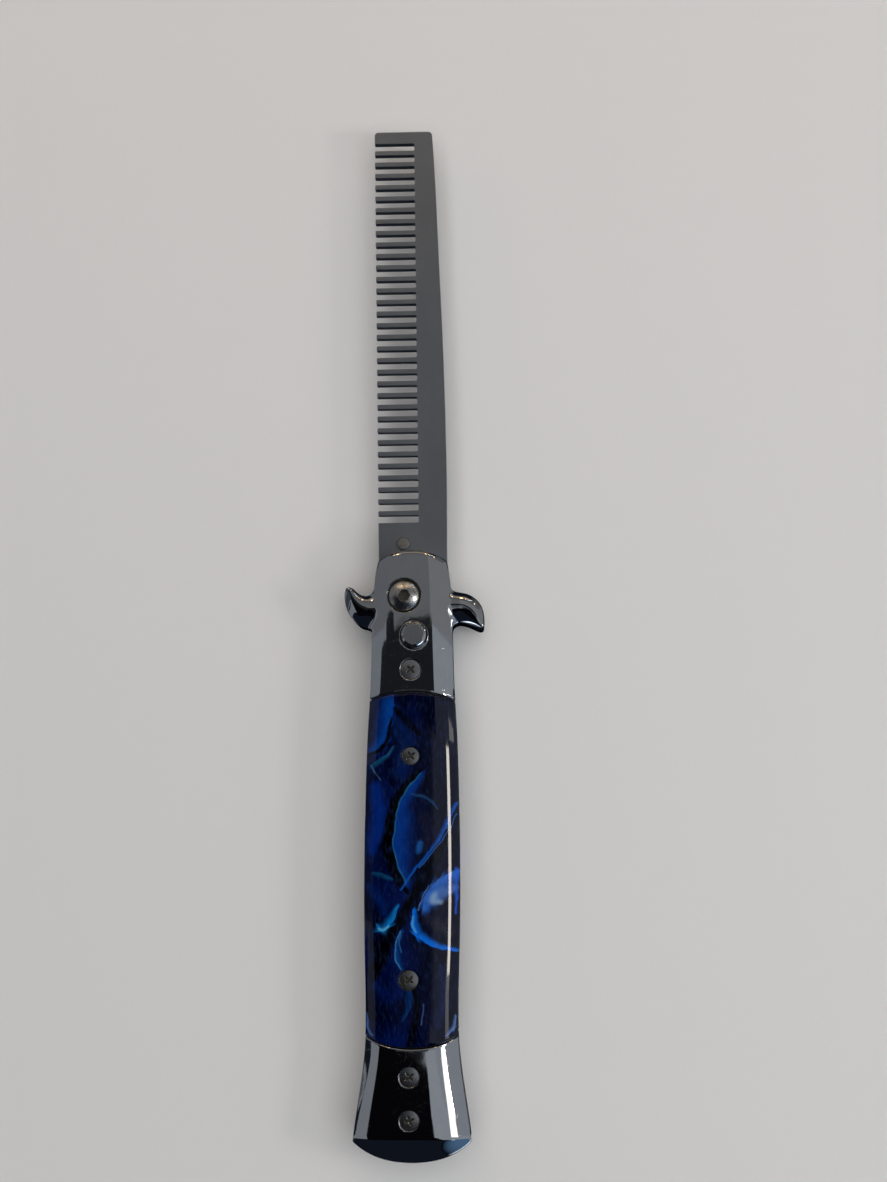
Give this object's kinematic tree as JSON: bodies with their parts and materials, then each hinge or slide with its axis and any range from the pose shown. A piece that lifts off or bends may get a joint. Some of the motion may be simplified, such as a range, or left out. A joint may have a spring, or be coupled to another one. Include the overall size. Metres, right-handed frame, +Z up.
{
  "type": "folding comb",
  "caption": "Slim steel comb that turns out of a long bolstered handle with curled guards, marbled blue scales, a flared pommel and a round push button.",
  "frame": {"origin": "on the surface that the comb lies on, under the middle of its outer box with the comb open", "axes": "+Y along the handle towards the open comb's tip, teeth towards -X, +Z up out of the face with the push button"},
  "size_m": [0.03, 0.2226, 0.017],
  "materials": {
    "satin_steel": "dark satin stainless steel with faint scratches",
    "chrome": "bright chrome plate on castings",
    "liner_steel": "plain rolled steel",
    "blue_acrylic": "polished pearly acrylic, marbled in blue and black",
    "screw_steel": "polished steel screws"
  },
  "bodies": {
    "handle": {"bolster_front": "chrome", "bolster_back": "chrome", "liner_front": "liner_steel", "liner_back": "liner_steel", "scale_front": "blue_acrylic", "scale_back": "blue_acrylic", "pommel_front": "chrome", "pommel_back": "chrome", "back_spacer": "liner_steel", "end_spacer": "liner_steel", "pivot_screw": "screw_steel", "pivot_nut": "screw_steel", "bolster_screw_front": "screw_steel", "bolster_screw_back": "screw_steel", "scale_screw_1_front": "screw_steel", "scale_screw_1_back": "screw_steel", "scale_screw_2_front": "screw_steel", "scale_screw_2_back": "screw_steel", "pommel_screw_1_front": "screw_steel", "pommel_screw_1_back": "screw_steel", "pommel_screw_2_front": "screw_steel", "pommel_screw_2_back": "screw_steel"},
    "comb": {"comb_blade": "satin_steel", "tang_pin": "screw_steel"},
    "button": {"lock_button": "chrome"}
  },
  "joints": [
    {"name": "comb_fold", "type": "hinge", "parent": "handle", "child": "comb", "pos_m": [-0.00208, 0.0062, 0.0075], "axis": [0, 0, 1], "range_deg": [0, 180]},
    {"name": "button_press", "type": "slide", "parent": "handle", "child": "button", "axis": [0, 0, -1], "range_m": [0, 0.001], "stiffness_N_per_m": 500, "springref_m": -0.0005}
  ]
}
